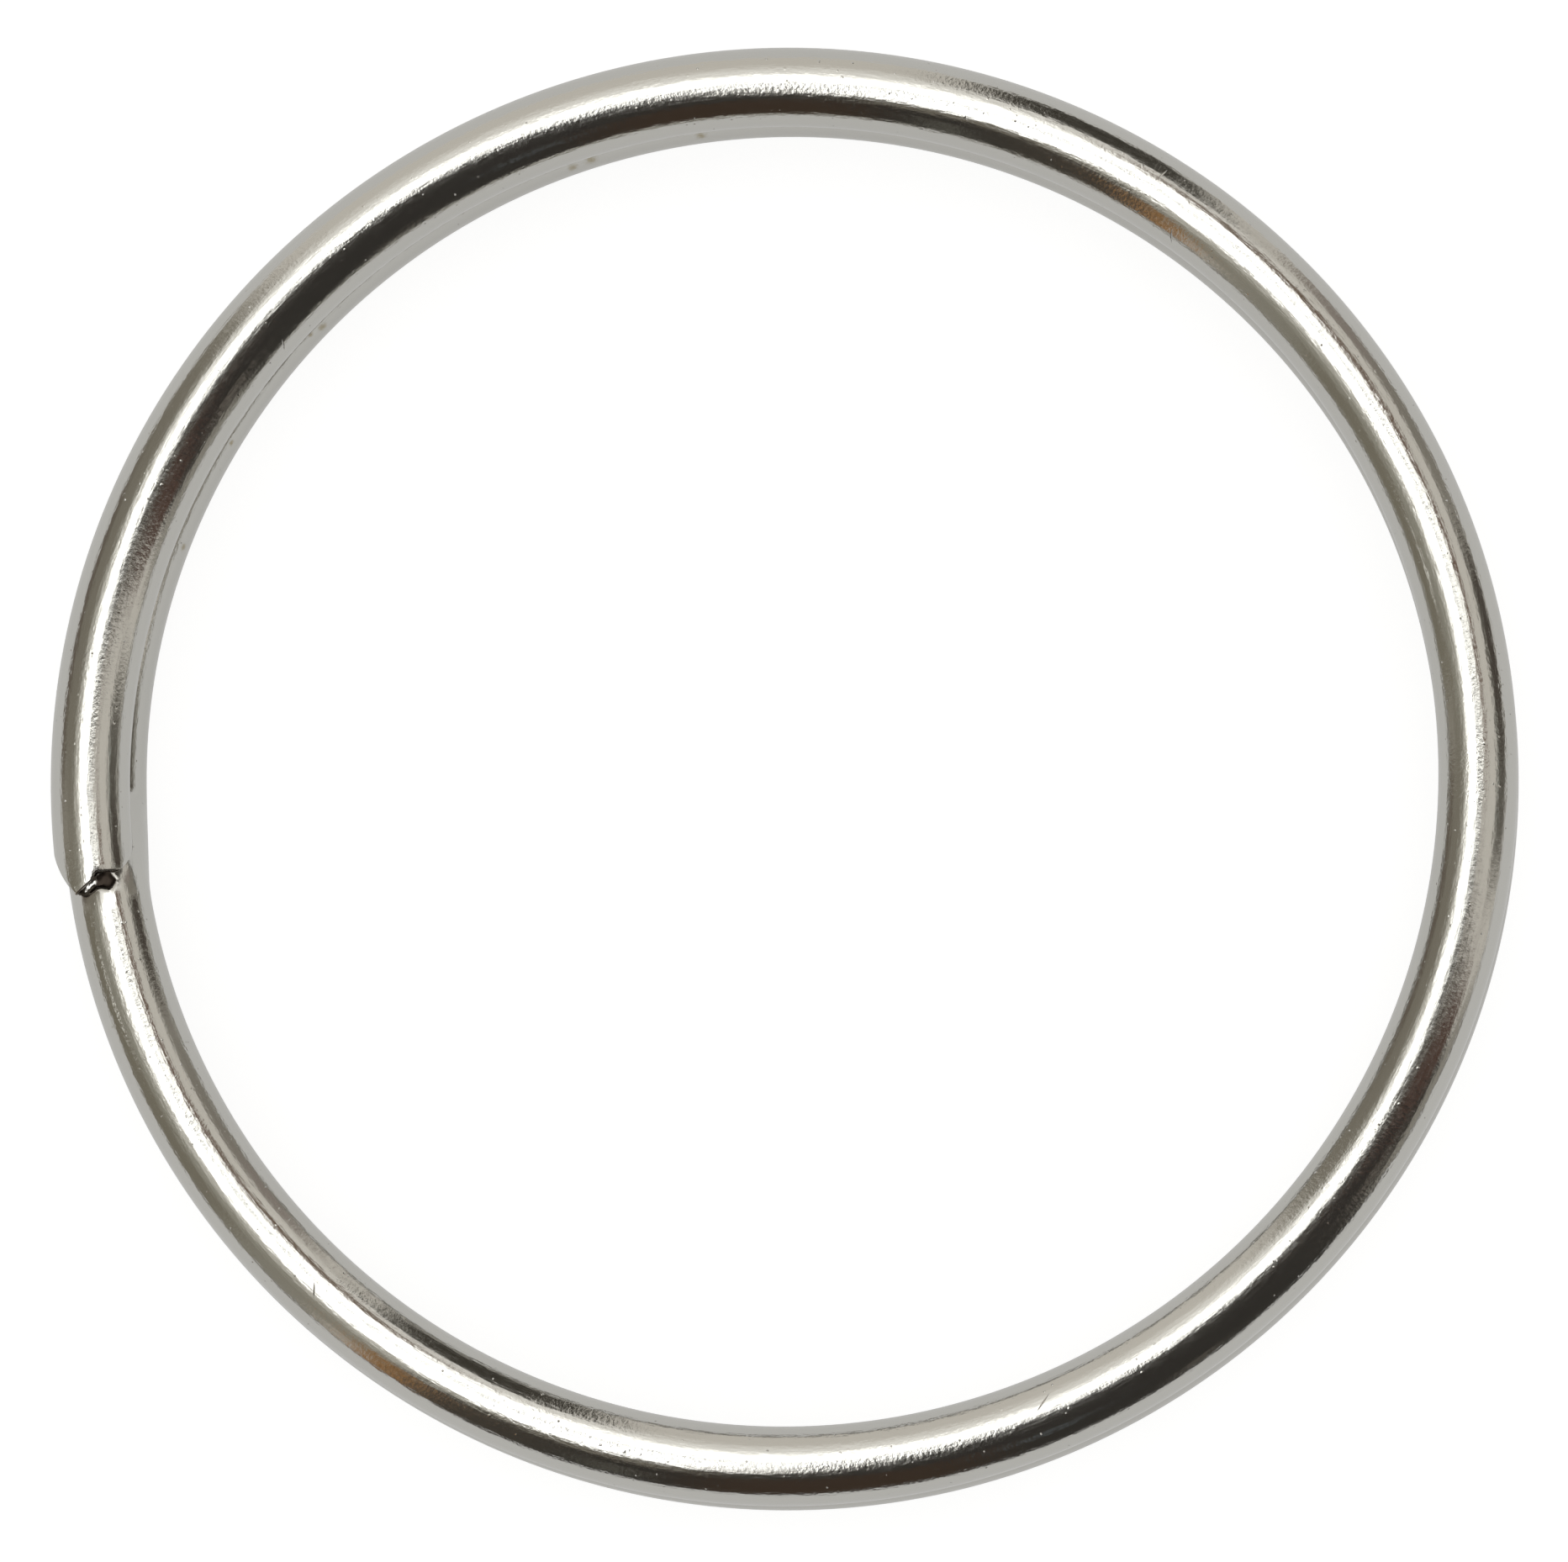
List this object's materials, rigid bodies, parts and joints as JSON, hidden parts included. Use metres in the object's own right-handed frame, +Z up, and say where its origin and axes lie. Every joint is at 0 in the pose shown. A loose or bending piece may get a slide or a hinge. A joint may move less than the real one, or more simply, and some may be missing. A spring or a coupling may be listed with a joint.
{
  "type": "split key ring",
  "caption": "Flat split ring of round spring wire wound twice, with a short crossing and overlapping ends, for holding keys.",
  "frame": {"origin": "on the ring's axis, at the plane it lies on", "axes": "+Z up along the ring's axis; the crossing and both wire ends are on the -X side; +Y to its left as seen from outside"},
  "size_m": [0.0351, 0.035, 0.0038],
  "materials": {
    "nickel_wire": "bright nickel plating on drawn wire, fine die lines along the wire, lightly handled"
  },
  "bodies": {
    "root": {"split_ring": "nickel_wire"}
  },
  "joints": []
}
